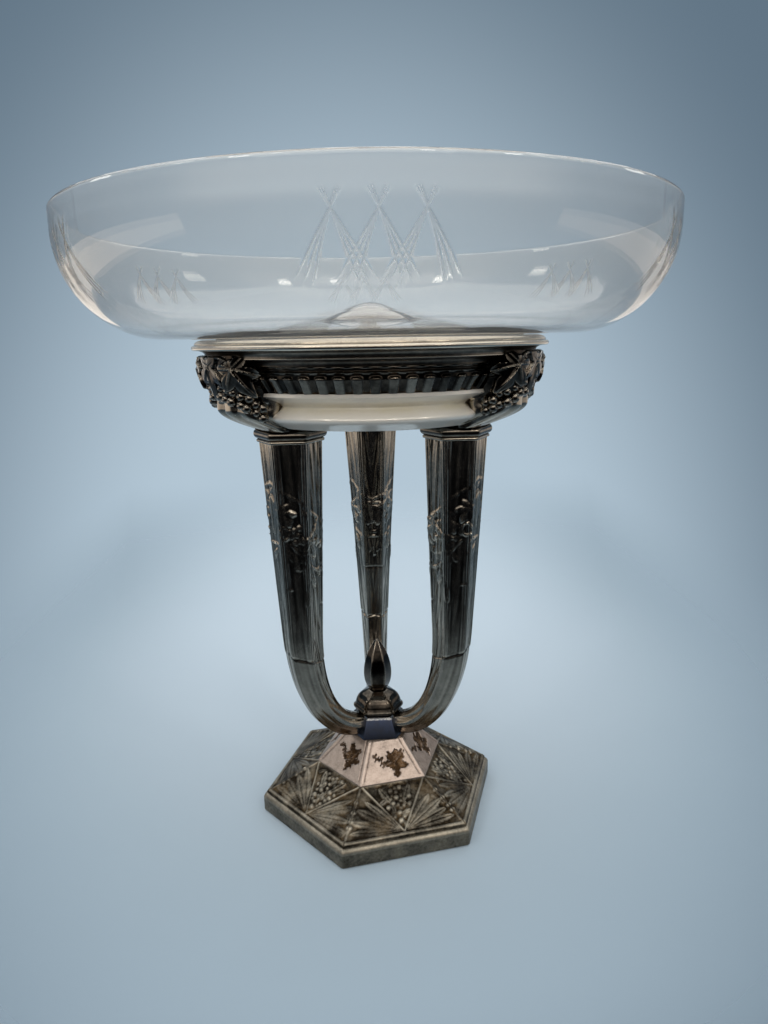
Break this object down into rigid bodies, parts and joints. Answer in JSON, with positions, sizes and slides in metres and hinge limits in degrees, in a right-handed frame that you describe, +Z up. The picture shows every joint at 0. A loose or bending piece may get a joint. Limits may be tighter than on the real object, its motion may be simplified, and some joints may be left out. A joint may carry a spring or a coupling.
{
  "type": "centerpiece bowl",
  "caption": "Wheel-cut glass bowl resting in a moulded ring on a silver-plated stand with curved arms, vine-leaf capitals and a faceted hexagonal base.",
  "frame": {"origin": "on the table, under the middle of the stand", "axes": "+Z up through the finial to the bowl; -Y towards the front, between the two front arms"},
  "size_m": [0.31, 0.31, 0.3408],
  "materials": {
    "tarnished_plate": "silver plate on cast brass, darkly tarnished, polished edges",
    "base_plate": "silver plate on cast brass, brown-grey tarnish",
    "rubbed_plate": "silver plate on turned brass, rubbed bright on its top",
    "polished_plate": "silver plate, spun and polished",
    "steel": "turned",
    "iron": "as cast",
    "felt": "pressed wool felt",
    "crystal": "blown clear glass, wheel cut and polished"
  },
  "bodies": {
    "stand": {"felt_pad": "felt", "base_plinth": "base_plate", "facet_tier": "base_plate", "base_cap": "base_plate", "base_weight": "iron", "tie_washer": "steel", "tie_nut": "steel", "tie_rod": "steel", "hub_block": "tarnished_plate", "knob": "tarnished_plate", "finial": "tarnished_plate", "arm_left": "tarnished_plate", "arm_collar_left": "tarnished_plate", "arm_stud_left": "steel", "arm_nut_left": "steel", "capital_left": "tarnished_plate", "capital_screw_left": "steel", "arm_right": "tarnished_plate", "arm_collar_right": "tarnished_plate", "arm_stud_right": "steel", "arm_nut_right": "steel", "capital_right": "tarnished_plate", "capital_screw_right": "steel", "arm_back": "tarnished_plate", "arm_collar_back": "tarnished_plate", "arm_stud_back": "steel", "arm_nut_back": "steel", "capital_back": "tarnished_plate", "capital_screw_back": "steel", "holder_dish": "polished_plate", "fluted_frieze": "tarnished_plate", "bowl_ring": "rubbed_plate"},
    "bowl": {"glass_bowl": "crystal"}
  },
  "joints": [
    {"name": "bowl_lift", "type": "slide", "parent": "stand", "child": "bowl", "axis": [0, 0, 1], "range_m": [0, 0.08]}
  ]
}
